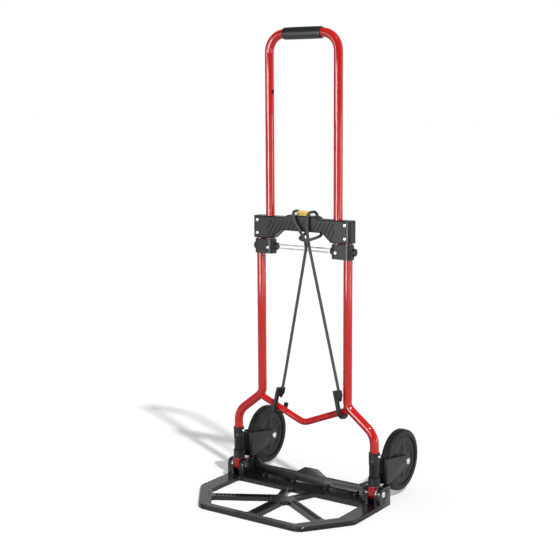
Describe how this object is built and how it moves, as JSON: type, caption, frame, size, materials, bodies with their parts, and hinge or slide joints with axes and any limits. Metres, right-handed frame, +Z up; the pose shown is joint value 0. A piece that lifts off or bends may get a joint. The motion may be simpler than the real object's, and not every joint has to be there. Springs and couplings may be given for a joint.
{
  "type": "hand truck",
  "caption": "Folding hand truck: tube frame with a pull-out handle, a toe plate that folds up, and wheels in forks that fold in with it.",
  "frame": {"origin": "on the floor, under the middle of the truck's box (the bungee cord left out)", "axes": "+X to the right as seen from the front; -Y towards the toe plate's front edge; +Z up along the tubes"},
  "size_m": [0.4188, 0.4044, 1.0422],
  "materials": {
    "red_paint": "glossy paint on steel tube",
    "grip_foam": "dense matt foam",
    "black_plastic": "moulded, fine texture",
    "plate_plastic": "moulded, satin rims and anti-slip texture",
    "red_plastic": "moulded, glossy",
    "yellow_plastic": "moulded, glossy",
    "bright_steel": "bright plated",
    "black_steel": "blackened",
    "plain_steel": "plain turned",
    "bush_plastic": "natural bearing plastic",
    "tyre_rubber": "moulded rubber with a light tread",
    "wheel_plastic": "moulded",
    "cord_cover": "woven sheath on an elastic core"
  },
  "bodies": {
    "frame": {"left_side_tube": "red_paint", "right_side_tube": "red_paint", "cross_tube": "red_paint", "crosshead_front_shell": "black_plastic", "crosshead_rear_shell": "black_plastic", "left_post_collar": "black_plastic", "right_post_collar": "black_plastic", "left_post_ring": "black_plastic", "right_post_ring": "black_plastic", "left_bungee_hook": "black_plastic", "right_bungee_hook": "black_plastic", "left_post_knuckle": "red_plastic", "right_post_knuckle": "red_plastic", "crosshead_screws": "bright_steel", "collar_screws": "bright_steel", "left_lock_spring": "plain_steel", "right_lock_spring": "plain_steel", "left_post_spindle": "plain_steel", "right_post_spindle": "plain_steel", "bungee_cord": "cord_cover"},
    "handle": {"handle_tube": "red_paint", "handle_grip": "grip_foam", "left_slide_block": "black_plastic", "right_slide_block": "black_plastic", "tie_rods": "plain_steel", "block_screws": "bright_steel"},
    "button": {"release_button": "yellow_plastic"},
    "left_lock": {"left_lock_bolt": "plain_steel"},
    "right_lock": {"right_lock_bolt": "plain_steel"},
    "plate": {"toe_plate": "plate_plastic", "rear_beam": "plate_plastic", "beam_screws": "black_steel", "left_foot_housing": "plate_plastic", "right_foot_housing": "plate_plastic", "left_pivot_bolt": "bright_steel", "right_pivot_bolt": "bright_steel"},
    "left_fork": {"left_fork": "black_plastic", "left_axle_bolt": "bright_steel"},
    "right_fork": {"right_fork": "black_plastic", "right_axle_bolt": "bright_steel"},
    "left_wheel": {"left_tyre": "tyre_rubber", "left_wheel_hub": "wheel_plastic", "left_wheel_bush": "bush_plastic"},
    "right_wheel": {"right_tyre": "tyre_rubber", "right_wheel_hub": "wheel_plastic", "right_wheel_bush": "bush_plastic"}
  },
  "joints": [
    {"name": "handle_slide", "type": "slide", "parent": "frame", "child": "handle", "axis": [0, 0, 1], "range_m": [-0.288, 0]},
    {"name": "button_press", "type": "slide", "parent": "frame", "child": "button", "axis": [0, 0, -1], "range_m": [0, 0.005], "stiffness_N_per_m": 800, "springref_m": -0.004},
    {"name": "right_lock_slide", "type": "slide", "parent": "frame", "child": "right_lock", "axis": [-1, 0, 0], "range_m": [0, 0.005], "deforming": ["right_lock_spring"]},
    {"name": "left_lock_slide", "type": "slide", "parent": "frame", "child": "left_lock", "axis": [1, 0, 0], "range_m": [0, 0.005], "deforming": ["left_lock_spring"]},
    {"name": "plate_fold", "type": "hinge", "parent": "frame", "child": "plate", "pos_m": [0, 0.01985, 0.0325], "axis": [-1, 0, 0], "range_deg": [0, 90]},
    {"name": "right_fork_fold", "type": "hinge", "parent": "frame", "child": "right_fork", "pos_m": [0.1845, 0.01985, 0.079], "axis": [0, 0, 1], "range_deg": [0, 90]},
    {"name": "right_wheel_spin", "type": "hinge", "parent": "right_fork", "child": "right_wheel", "pos_m": [0.1845, 0.13215, 0.079], "axis": [1, 0, 0], "continuous": true},
    {"name": "left_fork_fold", "type": "hinge", "parent": "frame", "child": "left_fork", "pos_m": [-0.1845, 0.01985, 0.079], "axis": [0, 0, -1], "range_deg": [0, 90]},
    {"name": "left_wheel_spin", "type": "hinge", "parent": "left_fork", "child": "left_wheel", "pos_m": [-0.1845, 0.13215, 0.079], "axis": [1, 0, 0], "continuous": true}
  ],
  "couplings": [
    {"joint": "right_lock_slide", "follows": "button_press", "ratio": 1},
    {"joint": "left_lock_slide", "follows": "button_press", "ratio": 1},
    {"joint": "right_fork_fold", "follows": "plate_fold", "ratio": 1},
    {"joint": "left_fork_fold", "follows": "plate_fold", "ratio": 1}
  ]
}
